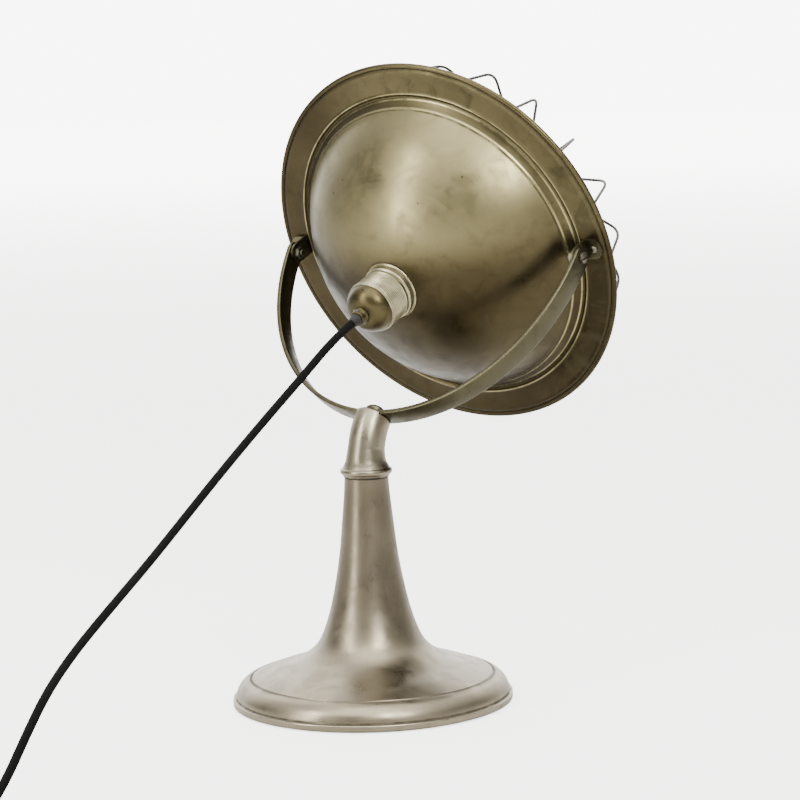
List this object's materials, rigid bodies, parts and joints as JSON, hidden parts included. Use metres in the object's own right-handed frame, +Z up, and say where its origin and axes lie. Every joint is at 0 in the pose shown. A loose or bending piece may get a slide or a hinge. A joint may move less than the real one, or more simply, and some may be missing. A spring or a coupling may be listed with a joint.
{
  "type": "table lamp",
  "caption": "Vintage metal table lamp: round dish with wire guard tilting in a U-shaped yoke on a swivelling elbow and a trumpet-shaped foot, with cord and plug.",
  "frame": {"origin": "centre of the foot on the surface the lamp stands on", "axes": "+Z up through the stem; the dish faces -Y, tilted 22.8 degrees up; +X along the pivot axis to the left arm"},
  "size_m": [0.3252, 0.7968, 0.5105],
  "materials": {
    "base_nickel": "worn satin nickel plate",
    "dish_nickel": "aged warm nickel plate, pitted",
    "yoke_nickel": "dull nickel plate, bright edges",
    "holder_nickel": "tarnished nickel plate",
    "old_brass": "tarnished",
    "screw_steel": "aged",
    "guard_steel": "dark, drawn wire",
    "iron": "as cast",
    "felt": "pressed felt",
    "fibre": "vulcanised fibre",
    "porcelain": "glazed",
    "bulb_clear": "clear",
    "tungsten": "drawn wire",
    "cord_braid": "braided",
    "sleeve_rubber": "matt",
    "plug_plastic": "moulded"
  },
  "bodies": {
    "stand": {"base_trumpet": "base_nickel", "ballast": "iron", "base_screws": "screw_steel", "base_felt": "felt", "swivel_bush": "old_brass", "thrust_washer": "fibre"},
    "neck": {"elbow": "yoke_nickel", "spigot_washer": "screw_steel", "spigot_nut": "screw_steel", "yoke": "yoke_nickel", "yoke_washer": "screw_steel", "yoke_bolt": "yoke_nickel", "cord": "cord_braid", "cord_coil": "cord_braid", "cord_tail": "cord_braid", "cord_tie": "cord_braid", "plug_body": "plug_plastic", "plug_pins": "old_brass"},
    "dish": {"reflector": "dish_nickel", "rim_wire": "guard_steel", "bracket_left": "yoke_nickel", "bracket_right": "yoke_nickel", "rivet_left": "screw_steel", "rivet_right": "screw_steel", "pivot_screw_left": "screw_steel", "pivot_screw_right": "screw_steel", "pivot_washer_left": "fibre", "pivot_washer_right": "fibre", "pivot_nut_left": "screw_steel", "pivot_nut_right": "screw_steel", "socket_collar": "holder_nickel", "collar_grub_screw": "screw_steel", "socket_shell": "holder_nickel", "cap_ring": "holder_nickel", "socket_cap": "old_brass", "cord_bush": "holder_nickel", "bush_screw": "screw_steel", "porcelain_insert": "porcelain", "lamp_screw_shell": "old_brass", "centre_contact": "old_brass", "terminal_screws": "old_brass", "cord_sleeve": "sleeve_rubber", "cord_inner": "cord_braid", "bulb_cap": "old_brass", "bulb_glass": "bulb_clear", "bulb_stem": "bulb_clear", "filament": "tungsten", "guard_ring_rim": "guard_steel", "guard_wires": "guard_steel", "guard_ring_middle": "guard_steel", "guard_ring_centre": "guard_steel"}
  },
  "joints": [
    {"name": "head_swivel", "type": "hinge", "parent": "stand", "child": "neck", "pos_m": [0, 0, 0.182], "axis": [0, 0, 1], "continuous": true},
    {"name": "dish_tilt", "type": "hinge", "parent": "neck", "child": "dish", "pos_m": [0, -0.09861, 0.35334], "axis": [-1, 0, 0], "range_deg": [-45, 20], "deforming": ["cord"]}
  ]
}
